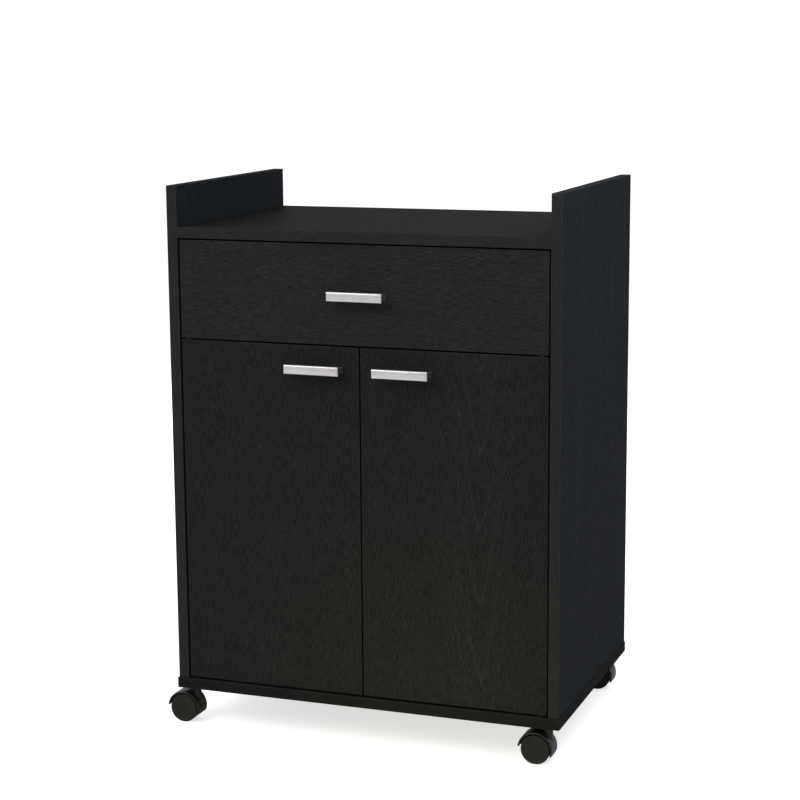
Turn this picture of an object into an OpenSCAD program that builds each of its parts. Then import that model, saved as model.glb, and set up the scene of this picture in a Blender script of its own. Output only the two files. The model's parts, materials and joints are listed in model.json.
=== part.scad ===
// Rolling kitchen cart: an open shelf on top between two raised sides, one
// drawer, a two-door cupboard below it, and four hooded twin-wheel casters.
// Flat-pack construction in faced board. X runs across the cart, Y from front
// to back and Z up. The floor is Z = 0 and the origin is at the footprint's centre.

/* [Cabinet] */
// Width of the base board, the widest board
cart_w = 600; // [480:5:760]
// Depth of the base board
cart_d = 395; // [340:5:480]
// Height of the side panels, which stand on the base board
side_h = 745; // [660:5:900]
// Thickness of every main board
board_t = 16; // [15:1:19]
// How far the side panels rise above the top shelf
guard_h = 60; // [0:5:120]
// How far the base board stands out past each side panel
base_side_over = 1.5; // [0.5:0.5:8]
// How far the base board stands out in front of the side panels
base_front_over = 2.5; // [0.5:0.5:10]
// Gap between the fronts and the boards round them
front_gap = 2.5; // [2:0.5:4]
// How far the fronts lie behind the side panels' front edges
front_recess = 2; // [0:0.5:6]
// Chamfer that eases the boards' edges
board_ease = 0.6; // [0.2:0.1:1.2]
// Thickness of the back panel and the drawer's bottom
thin_board_t = 3; // [2.5:0.5:5]
// Distance of the back panel from the rear edges
back_inset = 8; // [6:1:14]
// Depth of the grooves that hold the thin boards
groove_depth = 5; // [3:1:6]
// Height of the loose shelf above the base board
inner_shelf_rise = 250; // [180:10:300]
// How far the loose shelf stops behind the doors
inner_shelf_setback = 12; // [8:1:60]

/* [Drawer] */
// Height of the drawer's front
drawer_front_h = 144.5; // [125:0.5:180]
// Height of the drawer's sides
drawer_side_h = 100; // [80:5:102]
// Free depth between the drawer's sides and the back panel
drawer_rear_gap = 13.5; // [12:0.5:80]
// Thickness of the drawer's sides and back
drawer_side_t = 12; // [12:1:15]
// How far the drawer's bottom lies above its sides' lower edges
drawer_bottom_rise = 10; // [8:1:20]
// Height of the runners above the board below them
runner_rise = 3; // [2:1:6]
// Space that a runner takes between the cabinet and the drawer
runner_space = 12.5; // [12.5:0.5:14]
// Thickness of the runners' steel
runner_t = 1.5; // [1.2:0.1:1.8]
// Height of the runner that is fixed to the cabinet
runner_h = 34; // [33:1:38]
// Diameter of the runners' rollers
roller_d = 24; // [20:1:24]
// Diameter of the rivets that the rollers turn on
rivet_d = 4.8; // [4:0.2:6]
// How far a roller's axis lies from the end of its runner
roller_end = 14; // [13:1:20]

/* [Doors] */
// Distance of the hinge pins from the doors' hinge edges
hinge_side = 10; // [9:0.5:14]
// Distance of the hinge pins behind the doors' front faces
hinge_depth = 6.5; // [6:0.5:7]
// Diameter of the hinge pins
hinge_pin_d = 5; // [4:0.5:6]
// Length of the hinge pins inside the doors
hinge_pin_l = 10; // [8:1:16]
// Wall of the bushes that the hinge pins turn in
bush_wall = 2; // [1.5:0.5:2.5]
// Thickness of the hinge plates
hinge_plate_t = 1.5; // [1.5:0.1:1.8]
// Width of a hinge plate
hinge_plate_w = 24; // [20:1:30]
// Depth of a hinge plate's wide part
hinge_plate_l = 30; // [28:1:34]
// Gap between a hinge plate and its door
hinge_gap = 0.5; // [0.4:0.1:0.8]

/* [Handles] */
// Length of a handle
handle_l = 84; // [60:1:160]
// Height of a handle's bar
handle_h = 13.5; // [10:0.5:20]
// Thickness of a handle's bar
handle_t = 6; // [4:0.5:8]
// How far a handle stands out from its front
handle_reach = 22; // [18:1:35]
// Width of a handle's legs
leg_w = 8; // [7:0.5:12]
// Height of a handle's legs
leg_h = 8; // [7:0.5:10]
// Bevel round the face of a handle
handle_bevel = 1.2; // [0.5:0.1:2]
// Distance of the door handles below the doors' top edges
door_handle_drop = 26; // [15:1:120]
// Distance of the door handles from the doors' free edges
door_handle_inset = 24; // [15:0.5:60]

/* [Casters] */
// Height from the floor to the base board
caster_h = 56.5; // [53:0.5:62]
// Diameter of the wheels
wheel_d = 43; // [40:1:45]
// Width of one wheel
wheel_w = 10; // [8:0.5:12]
// Distance from the swivel axis to the axle
trail = 16; // [14:0.5:17.5]
// Distance of the swivel axes from the base board's edges
caster_inset = 21.5; // [19:0.5:60]
// Thickness of the web between the wheels
caster_web_t = 10.4; // [10.4:0.2:14]
// How far the hood stands out round the wheels
hood_over = 4.5; // [4:0.5:5]
// Wall of the hood
hood_wall = 2.2; // [1.5:0.1:2.5]
// Diameter of the axle
axle_d = 6; // [4:0.5:8]
// Diameter of the stem that the caster turns on
stem_d = 8; // [6:0.5:8]

/* [Fixings] */
// Diameter of the dowels
dowel_d = 8; // [6:1:8]
// Length of the dowels
dowel_l = 24; // [22:1:30]
// Diameter of the cam locks
cam_d = 15; // [12:1:15]
// Distance of the cam locks from the boards' ends
cam_inset = 24; // [20:1:34]
// Diameter of the bolts that the cam locks pull on
cam_bolt_d = 6; // [5:0.5:7]
// Diameter of the small wood screws
screw_d = 3; // [2.5:0.5:3]
// Length of the small wood screws
screw_l = 12; // [10:1:13]
// Diameter of the screws that hold the handles
handle_screw_d = 4; // [3:0.5:5]
// Diameter of the screws that hold the base board
base_screw_d = 7; // [5:0.5:7]
// Length of the screws that hold the base board
base_screw_l = 50; // [40:5:70]
// Diameter of the shelf pins
shelf_pin_d = 5; // [5:0.5:6]

/* [Hidden] */
$fn = 48;

// Radial clearance of pins, screws and dowels in their holes
fit = 0.05;
// Gap between pieces that slide or roll past each other
running_gap = 0.3;
// Overlap that carries a cut cleanly through a surface
cut = 1;

laminate = [0.13, 0.13, 0.13];
drawer_board = [0.20, 0.20, 0.20];
black_steel = [0.10, 0.10, 0.11];
zinc = [0.72, 0.73, 0.75];
nylon = [0.88, 0.88, 0.84];
beech = [0.80, 0.66, 0.46];
brushed_metal = [0.76, 0.75, 0.74];
caster_plastic = [0.17, 0.17, 0.16];

// Heights of the boards
base_top = caster_h + board_t;
side_top = base_top + side_h;
shelf_top = side_top - guard_h;
shelf_under = shelf_top - board_t;
drawer_front_z = shelf_under - front_gap - drawer_front_h;
door_z = base_top + front_gap;
door_top = drawer_front_z - front_gap;
door_h = door_top - door_z;
divider_z = door_top + hinge_gap + hinge_plate_t;
inner_shelf_z = base_top + inner_shelf_rise;

// Widths: half widths of the cabinet outside and inside
side_x = cart_w / 2 - base_side_over;
inner_x = side_x - board_t;
door_w = inner_x - 1.5 * front_gap;

// Depths, from the front edges of the side panels
side_d = cart_d - base_front_over;
front_back = front_recess + board_t;
divider_setback = 2;
divider_y = front_back + divider_setback;
back_y = side_d - back_inset - thin_board_t;
back_reach = inner_x + groove_depth;
drawer_side_l = back_y - drawer_rear_gap - front_back;
thin_gap = 0.1;
inner_shelf_rear_gap = 1;

// Places of the fixings along the boards' ends
fixing_edge = 55;
dowel_ys = [fixing_edge, side_d - fixing_edge];
cam_ys = [fixing_edge + 32, side_d - fixing_edge - 32];
base_screw_ys = [fixing_edge - 10, side_d / 2, side_d - fixing_edge + 10];
base_dowel_ys = [fixing_edge + 40, side_d - fixing_edge - 40];
dowel_in = 10;
cam_bolt_in = 9;
cam_t = 12;
cam_slot = 7.4;
bolt_head_d = 7;
bolt_head_l = 3;
board_end_heights = [divider_z + board_t / 2, shelf_under + board_t / 2];

// Shelf pins and the rows of holes that they fit
pin_row_pitch = 32;
pin_row = [-2 : 2];
pin_row_ys = [divider_y + 40, back_y - 45];
pin_hole_depth = 10;
pin_tongue_l = 9;
pin_tongue_w = 9;
pin_plate_h = 14;
pin_sheet = 2;
pin_z = inner_shelf_z - shelf_pin_d / 2;
inner_shelf_side_gap = 2.5;

// Runners, measured inwards from the side panels
runner_z = divider_z + board_t + runner_rise;
runner_y = divider_y;
runner_l = drawer_side_l;
rail_w = 10.5;
rail_lip = 2.6;
drawer_lift = 8;
drawer_z = runner_z + drawer_lift;
drawer_flange_z = runner_h - 5.2;
drawer_flange_w = 10;
roller_w = 6.4;
rivet_head_d = 7;
rivet_head_t = 0.8;
front_roller_u = runner_t + 0.4;
front_roller_z = runner_z + drawer_flange_z - running_gap - roller_d / 2;
front_roller_y = runner_y + roller_end;
rear_roller_u = 3.1;
rear_roller_z = runner_z + runner_t + running_gap + roller_d / 2;
rear_roller_y = front_back + runner_l - roller_end;
drawer_x = inner_x - runner_space;
runner_screw_edge = 60;
runner_screw_offsets = [runner_screw_edge, runner_l / 2, runner_l - runner_screw_edge];

// Drawer box
drawer_front_w = 2 * (inner_x - front_gap);
drawer_end = front_back + drawer_side_l;
drawer_bottom_z = drawer_z + drawer_bottom_rise;
drawer_bottom_reach = drawer_x - drawer_side_t + groove_depth;
drawer_back_z = drawer_bottom_z + thin_board_t + thin_gap;
drawer_top = drawer_z + drawer_side_h;
drawer_cam_rises = [32, drawer_side_h - 22];
drawer_cam_d = 12;
drawer_cam_t = 9;
drawer_cam_inset = 20;
drawer_bolt_d = 5;
drawer_bolt_in = 10;
drawer_screw_l = 38;

// Hinges
hinge_x = inner_x - front_gap - hinge_side;
hinge_y = front_recess + hinge_depth;
bush_d = hinge_pin_d + 2 * bush_wall;
bush_l = hinge_pin_l + 2;
hinge_lip = 6;
hinge_screw_ys = [divider_y + 8, divider_y + 22];
bottom_washer_t = front_gap - hinge_plate_t - running_gap;

// Magnetic catch and strike plates
catch_w = 56;
catch_body_w = 40;
catch_body_d = 13;
catch_h = 12;
catch_ear_t = 2.5;
catch_y = front_back + 2;
magnet_w = 12;
magnet_h = 8;
magnet_x = catch_body_w / 2 - 8;
strike_w = 14;
strike_h = 10;
strike_t = 1.2;
strike_z = divider_z - catch_h / 2 - 1;

// Handles
handle_hole_x = handle_l / 2 - leg_w / 2;
handle_screw_in = 9;
pan_head_d = 2 * handle_screw_d;
pan_head_h = 2.4;
door_handle_x = front_gap / 2 + door_handle_inset + handle_l / 2;
door_handle_z = door_top - door_handle_drop - handle_h / 2;
drawer_handle_z = drawer_front_z + drawer_front_h / 2;

// Casters, measured from the swivel axis at floor level
wheel_r = wheel_d / 2;
wheel_gap = 0.3;
hood_w = caster_web_t + 2 * (wheel_w + wheel_gap);
hood_r = wheel_r + hood_over;
hood_shift = 0.8;
hood_lip_z = wheel_r + 3;
hood_skirt_z = wheel_r - 8.5;
collar_d = 14;
collar_t = 2.5;
hood_top = caster_h - collar_t - running_gap;
neck_d = 12;
stem_end = 31;
clip_groove = 1.2;
insert_d = 12;
insert_h = 13;
axle_boss_r = 7;
tread_round = 1.2;
rim_t = 2.4;
disc_t = 2.2;
disc_dish = 0.5;
wheel_bore_l = wheel_w - disc_t - disc_dish;
axle_l = caster_web_t + 2 * (wheel_gap + wheel_bore_l - running_gap);
hub_d = axle_d + 5;
ring_r = wheel_r - 3;
caster_x = cart_w / 2 - caster_inset;
caster_front_y = caster_inset - base_front_over;
caster_rear_y = side_d - caster_inset;

// The origin lies under the middle of everything, casters' hoods and handles included
hood_tip = trail + hood_shift + sqrt(hood_r ^ 2 - (hood_lip_z - wheel_r) ^ 2);
frame_x = (caster_x + hood_tip - cart_w / 2) / 2;
frame_y = -(front_recess - handle_reach + side_d) / 2;

// ---------------------------------------------------------------- placing

// Moves the cabinet's own coordinates to the origin under its middle
module in_frame() translate([frame_x, frame_y, 0]) children();

// Draws a right-hand piece on the right (1) or mirrored on the left (-1)
module on_side(side) {
    if (side > 0) children();
    else mirror([1, 0, 0]) children();
}

// Draws children on both sides
module both_sides() for (side = [-1, 1]) on_side(side) children();

// Turns a profile drawn in Y and Z into a bar that runs along X
module along_x(length) rotate([90, 0, 90]) linear_extrude(length) children();

// Turns a profile drawn in X and Z into a bar that runs along +Y
module along_y(length)
    translate([0, length, 0]) rotate([90, 0, 0]) linear_extrude(length) children();

// ---------------------------------------------------------------- shapes

// Rectangle with its corners cut at 45 degrees
module eased_square(w, h, e)
    polygon([[e, 0], [w - e, 0], [w, e], [w, h - e], [w - e, h], [e, h], [0, h - e], [0, e]]);

// Board with every edge eased
module board(w, d, h, e = board_ease) intersection() {
    linear_extrude(h) eased_square(w, d, e);
    along_x(w) eased_square(d, h, e);
    along_y(d) eased_square(w, h, e);
}

// Board whose corners are low = [x, y, z] and high = [x, y, z]
module board_between(low, high, e = board_ease)
    translate(low) board(high.x - low.x, high.y - low.y, high.z - low.z, e);

// Hole or rod along +X
module rod_x(d, l) rotate([0, 90, 0]) cylinder(d = d, h = l);

// Hole or rod along +Y
module rod_y(d, l) rotate([-90, 0, 0]) cylinder(d = d, h = l);

// Cross recess in a screw's head, sunk from Z = 0
module cross_recess(d) {
    recess_w = 0.22 * d;
    for (turn = [0, 90]) rotate(turn)
        translate([-0.55 * d, -recess_w / 2, -0.3 * d]) cube([1.1 * d, recess_w, 0.3 * d + cut]);
}

// Countersunk wood screw along -Z, with its head's face at Z = 0
module wood_screw(d, l) difference() {
    union() {
        translate([0, 0, -d / 2]) cylinder(h = d / 2, d1 = d, d2 = 2 * d);
        translate([0, 0, d - l]) cylinder(h = l - 1.5 * d, d = d);
        translate([0, 0, -l]) cylinder(h = d, d1 = 0.2 * d, d2 = d);
    }
    cross_recess(d);
}

// Hole that a wood screw sits in
module wood_screw_hole(d, l) {
    translate([0, 0, -d / 2]) cylinder(h = d / 2 + fit, d1 = d + 2 * fit, d2 = 2 * d + 4 * fit);
    translate([0, 0, -l - fit]) cylinder(h = l + fit, d = d + 2 * fit);
}

// Pan-head machine screw along -Z, with its head on top of Z = 0
module pan_screw(d, l) difference() {
    union() {
        rotate_extrude() intersection() {
            translate([0, -2 * d]) circle(r = 2 * d + pan_head_h);
            square([d, pan_head_h]);
        }
        translate([0, 0, -l]) cylinder(h = l, d = d);
    }
    translate([0, 0, pan_head_h]) cross_recess(d);
}

// ---------------------------------------------------------------- cabinet

// Holes for dowels and cam bolts where a board's end meets a side panel
module board_end_holes(z) {
    for (y = dowel_ys) translate([inner_x, y, z]) children(0);
    for (y = cam_ys) translate([inner_x, y, z]) children(1);
}

// Dowel across the joint between a board's end and a side panel, at the origin
module end_dowel(d, over = 0)
    translate([dowel_in - dowel_l - over, 0, 0]) rod_x(d, dowel_l + 2 * over);

module side_panel(side) color(laminate) in_frame() on_side(side) difference() {
    board_between([inner_x, 0, base_top], [side_x, side_d, side_top]);
    for (z = board_end_heights) board_end_holes(z) {
        end_dowel(dowel_d + 2 * fit, fit);
        translate([-cut, 0, 0]) rod_x(cam_bolt_d + 2 * fit, cut + cam_bolt_in + fit);
    }
    // Groove for the back panel
    translate([inner_x - cut, back_y - thin_gap, base_top - cut])
        cube([groove_depth + cut, thin_board_t + 2 * thin_gap, shelf_under - base_top + groove_depth + cut]);
    // Rows of holes for the shelf pins
    for (y = pin_row_ys, step = pin_row)
        translate([inner_x - cut, y, pin_z + step * pin_row_pitch])
            rod_x(shelf_pin_d + 2 * fit, pin_hole_depth + cut);
    base_fixing_holes();
    // Screw holes of the cabinet's runner
    for (offset = runner_screw_offsets)
        translate([inner_x - runner_t, runner_y + offset, runner_z + runner_h / 2])
            rotate([0, -90, 0]) wood_screw_hole(screw_d, screw_l);
}

// Holes for the screws and dowels between the base board and the right side panel
module base_fixing_holes() {
    x = inner_x + board_t / 2;
    for (y = base_screw_ys) translate([x, y, caster_h]) {
        cylinder(h = base_screw_l + fit, d = base_screw_d + 2 * fit);
        translate([0, 0, -fit])
            cylinder(h = base_screw_d / 2 + fit, d1 = 1.5 * base_screw_d + 4 * fit, d2 = base_screw_d);
    }
    for (y = base_dowel_ys) translate([x, y, base_top - dowel_in - fit])
        cylinder(h = dowel_l + 2 * fit, d = dowel_d + 2 * fit);
}

module base_board() color(laminate) in_frame() difference() {
    board_between([-cart_w / 2, -base_front_over, caster_h], [cart_w / 2, side_d, base_top]);
    both_sides() base_fixing_holes();
    // Sockets for the casters' threaded inserts
    each_caster() translate([0, 0, caster_h - cut])
        cylinder(h = insert_h + fit + cut, d = insert_d + 2 * fit);
    // Groove for the back panel
    translate([-back_reach, back_y - thin_gap, base_top - groove_depth])
        cube([2 * back_reach, thin_board_t + 2 * thin_gap, groove_depth + cut]);
    both_sides() hinge_screw_holes(base_top + hinge_plate_t, 1);
}

// Board between the side panels with dowels, bolts and cam locks in its ends
module cross_board(y0, y1, z) difference() {
    board_between([-inner_x, y0, z], [inner_x, y1, z + board_t]);
    both_sides() board_end_holes(z + board_t / 2) {
        end_dowel(dowel_d + 2 * fit, fit);
        translate([-cam_inset, 0, 0]) rod_x(bolt_head_d + 2 * fit, cam_inset + cut);
    }
    both_sides() for (y = cam_ys) translate([inner_x - cam_inset, y, z - cut])
        cylinder(h = cam_t + cut, d = cam_d + 2 * fit);
}

module top_shelf() color(laminate) in_frame() difference() {
    cross_board(0, side_d, shelf_under);
    translate([-inner_x, back_y - thin_gap, shelf_under - cut])
        cube([2 * inner_x, thin_board_t + 2 * thin_gap, groove_depth + cut]);
}

module divider_panel() color(laminate) in_frame() difference() {
    cross_board(divider_y, back_y, divider_z);
    both_sides() hinge_screw_holes(divider_z - hinge_plate_t, -1);
    catch_screw_places() wood_screw_hole(screw_d, screw_l);
}

module back_panel() color(laminate) in_frame()
    translate([thin_gap - back_reach, back_y, base_top - groove_depth]) cube([
        2 * (back_reach - thin_gap), thin_board_t,
        shelf_under - base_top + 2 * groove_depth - thin_gap]);

module inner_shelf() color(laminate) in_frame() board_between(
    [inner_shelf_side_gap - inner_x, front_back + inner_shelf_setback, inner_shelf_z],
    [inner_x - inner_shelf_side_gap, back_y - inner_shelf_rear_gap, inner_shelf_z + board_t]);

// Spoon-shaped pin on the right side panel, with its tongue under the shelf
module shelf_pin() {
    translate([inner_x, 0, pin_z]) rod_x(shelf_pin_d, pin_hole_depth - 1);
    translate([inner_x - pin_sheet, -pin_tongue_w / 2, inner_shelf_z - pin_plate_h])
        cube([pin_sheet, pin_tongue_w, pin_plate_h]);
    translate([inner_x - pin_tongue_l, -pin_tongue_w / 2, inner_shelf_z - pin_sheet])
        cube([pin_tongue_l, pin_tongue_w, pin_sheet]);
}

module shelf_pins() color(zinc) in_frame() both_sides()
    for (y = pin_row_ys) translate([0, y, 0]) shelf_pin();

module dowels() color(beech) in_frame() both_sides() {
    for (z = board_end_heights, y = dowel_ys) translate([inner_x, y, z]) end_dowel(dowel_d);
    for (y = base_dowel_ys) translate([inner_x + board_t / 2, y, base_top - dowel_in])
        cylinder(h = dowel_l, d = dowel_d);
}

module cam_bolts() color(zinc) in_frame() both_sides()
    for (z = board_end_heights, y = cam_ys) translate([inner_x, y, z]) {
        translate([-cam_inset, 0, 0]) rod_x(cam_bolt_d, cam_inset + cam_bolt_in);
        translate([-cam_inset, 0, 0]) rod_x(bolt_head_d, bolt_head_l);
    }

// Cam lock with the slot that takes the bolt's head, which comes from +X at the origin
module cam_lock(d, t, slot) difference() {
    translate([0, 0, -board_t / 2]) cylinder(h = t - fit, d = d);
    translate([-slot / 2, -slot / 2, -slot / 2]) cube([d, slot, slot]);
    translate([0, 0, -board_t / 2]) mirror([0, 0, 1]) cross_recess(d / 2);
}

module cam_locks() color(zinc) in_frame() both_sides()
    for (z = board_end_heights, y = cam_ys)
        translate([inner_x - cam_inset, y, z]) cam_lock(cam_d, cam_t, cam_slot);

module base_screws() color(zinc) in_frame() both_sides()
    for (y = base_screw_ys) translate([inner_x + board_t / 2, y, caster_h]) difference() {
        union() {
            cylinder(h = base_screw_d / 2, d1 = 1.5 * base_screw_d, d2 = base_screw_d - 2 * fit);
            cylinder(h = base_screw_l, d = base_screw_d);
        }
        // Hexagon socket
        translate([0, 0, -cut]) cylinder(h = 3 + cut, d = 4.6, $fn = 6);
    }

// ---------------------------------------------------------------- hinges

// Places the screws of the right-hand hinge plate whose face is at z; up = 1 drives down
module hinge_screw_places(z, up)
    for (y = hinge_screw_ys) translate([hinge_x, y, z]) mirror([0, 0, up > 0 ? 0 : 1]) children();

module hinge_screw_holes(z, up) hinge_screw_places(z, up) wood_screw_hole(screw_d, screw_l);

// Right-hand plate from z up, with its pin standing up (1) or hanging down (-1)
module hinge_plate(z, up) difference() {
    union() {
        translate([hinge_x, 0, z]) linear_extrude(hinge_plate_t) {
            translate([0, hinge_y]) circle(d = 2 * hinge_lip);
            translate([-hinge_lip, hinge_y]) square([2 * hinge_lip, divider_y - hinge_y]);
            translate([-hinge_plate_w / 2, divider_y])
                square([hinge_plate_w / 2 + inner_x - hinge_x, hinge_plate_l]);
        }
        pin_z0 = up > 0 ? z : z - hinge_gap - hinge_pin_l;
        translate([hinge_x, hinge_y, pin_z0])
            cylinder(h = hinge_pin_l + hinge_gap + hinge_plate_t, d = hinge_pin_d);
    }
    hinge_screw_holes(up > 0 ? z + hinge_plate_t : z, up);
}

module hinge_plates() color(black_steel) in_frame() both_sides() {
    hinge_plate(base_top, 1);
    hinge_plate(divider_z - hinge_plate_t, -1);
}

// ---------------------------------------------------------------- catch

module catch_screw_places()
    for (x = [-1, 1] * (catch_w + catch_body_w) / 4)
        translate([x, catch_y + catch_body_d / 2, divider_z - catch_ear_t])
            mirror([0, 0, 1]) children();

module magnetic_catch() color(black_steel) in_frame() difference() {
    union() {
        board_between([-catch_body_w / 2, catch_y, divider_z - catch_h],
            [catch_body_w / 2, catch_y + catch_body_d, divider_z], 0.8);
        translate([-catch_w / 2, catch_y + 2, divider_z - catch_ear_t])
            cube([catch_w, catch_body_d - 4, catch_ear_t]);
    }
    for (x = [-magnet_x, magnet_x])
        translate([x - magnet_w / 2 - fit, catch_y - cut, strike_z - magnet_h / 2 - fit])
            cube([magnet_w + 2 * fit, cut + magnet_h, magnet_h + 2 * fit]);
    catch_screw_places() wood_screw_hole(screw_d, screw_l);
}

// Each magnet is held between two pole plates that reach forward to the strike
module catch_magnets() color(zinc) in_frame()
    for (x = [-magnet_x, magnet_x]) {
        pole_t = 1.5;
        pole_reach = catch_y - front_back - strike_t - running_gap;
        translate([x - magnet_w / 2, catch_y, strike_z - magnet_h / 2 + pole_t])
            cube([magnet_w, magnet_h, magnet_h - 2 * pole_t]);
        for (z = [strike_z - magnet_h / 2, strike_z + magnet_h / 2 - pole_t])
            translate([x - magnet_w / 2, catch_y - pole_reach, z])
                cube([magnet_w, magnet_h + pole_reach, pole_t]);
    }

// ---------------------------------------------------------------- runners

// Profile of the channel on the right side panel; x is negative into the cabinet
module cabinet_channel() {
    translate([-runner_t, 0]) square([runner_t, runner_h]);
    translate([-rail_w, 0]) square([rail_w, runner_t]);
    translate([-rail_w, 0]) square([0.8, rail_lip]);
    translate([-rail_w, runner_h - runner_t]) square([rail_w, runner_t]);
}

module cabinet_runner(side) color(zinc) in_frame() on_side(side) {
    difference() {
        translate([inner_x, runner_y, runner_z]) along_y(runner_l) cabinet_channel();
        for (offset = runner_screw_offsets)
            translate([inner_x - runner_t, runner_y + offset, runner_z + runner_h / 2])
                rotate([0, -90, 0]) wood_screw_hole(screw_d, screw_l);
    }
    // Rivet of the front roller, riveted over at its free end
    rivet_l = front_roller_u - runner_t + roller_w + fit;
    translate([inner_x - runner_t - rivet_l, front_roller_y, front_roller_z])
        rod_x(rivet_d, rivet_l + runner_t / 2);
    translate([inner_x - runner_t - rivet_l - rivet_head_t, front_roller_y, front_roller_z])
        rod_x(rivet_head_d, rivet_head_t);
}

// Profile of the rail on the drawer's right side, from its lower edge outwards
module drawer_rail() {
    translate([0, -runner_t]) square([runner_t, drawer_flange_z - drawer_lift + 2 * runner_t]);
    translate([0, drawer_flange_z - drawer_lift]) square([drawer_flange_w, runner_t]);
    translate([-drawer_side_t, -runner_t]) square([drawer_side_t + runner_t, runner_t]);
}

module drawer_runner(side) color(zinc) in_frame() on_side(side) {
    difference() {
        translate([drawer_x, front_back, drawer_z]) along_y(runner_l) drawer_rail();
        drawer_rail_screws() wood_screw_hole(screw_d, screw_l);
    }
    rivet_x = inner_x - rear_roller_u - roller_w - fit;
    head_x = inner_x - rear_roller_u + fit;
    translate([drawer_x + runner_t / 2, rear_roller_y, rear_roller_z])
        rod_x(rivet_d, head_x - drawer_x - runner_t / 2);
    translate([head_x, rear_roller_y, rear_roller_z]) rod_x(rivet_head_d, rivet_head_t);
}

module drawer_rail_screws()
    for (offset = runner_screw_offsets)
        translate([drawer_x + runner_t, front_back + offset, runner_z + drawer_flange_z - screw_d - 1])
            rotate([0, 90, 0]) children();

// Nylon roller with a shallow groove, its bore along +X from the origin
module roller() rotate([0, 90, 0]) rotate_extrude() difference() {
    translate([rivet_d / 2 + fit, 0]) square([roller_d / 2 - rivet_d / 2 - fit, roller_w]);
    for (z = [0, roller_w]) translate([roller_d / 2, z]) rotate(45) square(1.2, center = true);
    for (z = [0, roller_w]) translate([roller_d / 4 + 2.5, z]) circle(d = 2.4);
}

module front_roller(side) color(nylon) in_frame() on_side(side)
    translate([inner_x - front_roller_u - roller_w, front_roller_y, front_roller_z]) roller();

module rear_roller(side) color(nylon) in_frame() on_side(side)
    translate([inner_x - rear_roller_u - roller_w, rear_roller_y, rear_roller_z]) roller();

module hardware_screws() color(zinc) in_frame() {
    both_sides() {
        for (offset = runner_screw_offsets)
            translate([inner_x - runner_t, runner_y + offset, runner_z + runner_h / 2])
                rotate([0, -90, 0]) wood_screw(screw_d, screw_l);
        hinge_screw_places(base_top + hinge_plate_t, 1) wood_screw(screw_d, screw_l);
        hinge_screw_places(divider_z - hinge_plate_t, -1) wood_screw(screw_d, screw_l);
    }
    catch_screw_places() wood_screw(screw_d, screw_l);
}

// ---------------------------------------------------------------- drawer

// Places of the cam locks in the drawer's right side, turned to face the front
module drawer_cam_places()
    for (rise = drawer_cam_rises)
        translate([drawer_x - drawer_side_t / 2, front_back + drawer_cam_inset, drawer_z + rise])
            children();

// Bolt from the drawer's front into a cam lock at the origin
module drawer_bolt(d, over = 0) translate([0, -drawer_cam_inset - drawer_bolt_in - over, 0])
    rod_y(d, drawer_cam_inset + drawer_bolt_in + over);

module drawer_front() color(laminate) in_frame() difference() {
    board_between([-drawer_front_w / 2, front_recess, drawer_front_z],
        [drawer_front_w / 2, front_back, drawer_front_z + drawer_front_h]);
    both_sides() drawer_cam_places() drawer_bolt(drawer_bolt_d + 2 * fit, fit);
    translate([-drawer_bottom_reach, front_back - groove_depth, drawer_bottom_z - thin_gap])
        cube([2 * drawer_bottom_reach, groove_depth + cut, thin_board_t + 2 * thin_gap]);
    handle_screw_places(0, drawer_handle_z) handle_screw_hole();
}

module drawer_side(side) color(drawer_board) in_frame() on_side(side) difference() {
    board_between([drawer_x - drawer_side_t, front_back, drawer_z], [drawer_x, drawer_end, drawer_top]);
    // Groove for the drawer's bottom
    translate([drawer_x - drawer_side_t - cut, front_back - cut, drawer_bottom_z - thin_gap])
        cube([groove_depth + cut, drawer_side_l + 2 * cut, thin_board_t + 2 * thin_gap]);
    drawer_cam_places() {
        drawer_bolt(drawer_bolt_d + 2 * fit, fit);
        translate([-drawer_side_t / 2 - cut, 0, 0]) rod_x(drawer_cam_d + 2 * fit, drawer_cam_t + cut);
    }
    drawer_back_screws() wood_screw_hole(screw_d, drawer_screw_l);
    drawer_rail_screws() wood_screw_hole(screw_d, screw_l);
}

// Places of the screws through the drawer's right side into its back
module drawer_back_screws()
    for (z = [drawer_back_z + 15, drawer_top - 20])
        translate([drawer_x, drawer_end - drawer_side_t / 2, z]) rotate([0, 90, 0]) children();

module drawer_back() color(drawer_board) in_frame() difference() {
    reach = drawer_x - drawer_side_t;
    board_between([-reach, drawer_end - drawer_side_t, drawer_back_z], [reach, drawer_end, drawer_top]);
    both_sides() drawer_back_screws() wood_screw_hole(screw_d, drawer_screw_l);
}

module drawer_bottom() color(drawer_board) in_frame() {
    reach = drawer_bottom_reach - thin_gap;
    bottom_y = front_back - groove_depth + thin_gap;
    translate([-reach, bottom_y, drawer_bottom_z]) cube([2 * reach, drawer_end - bottom_y, thin_board_t]);
}

module drawer_fixings() color(zinc) in_frame() both_sides() {
    drawer_cam_places() {
        drawer_bolt(drawer_bolt_d);
        // Cam disc, slotted for the bolt
        difference() {
            translate([-drawer_side_t / 2, 0, 0]) rod_x(drawer_cam_d, drawer_cam_t - fit);
            drawer_bolt(drawer_bolt_d + 2 * fit, fit);
            rotate([-90, 0, 0]) cylinder(d = drawer_bolt_d + 2 * fit, h = 2 * fit);
        }
    }
    drawer_back_screws() wood_screw(screw_d, drawer_screw_l);
    drawer_rail_screws() wood_screw(screw_d, screw_l);
}

// ---------------------------------------------------------------- handles

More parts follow.
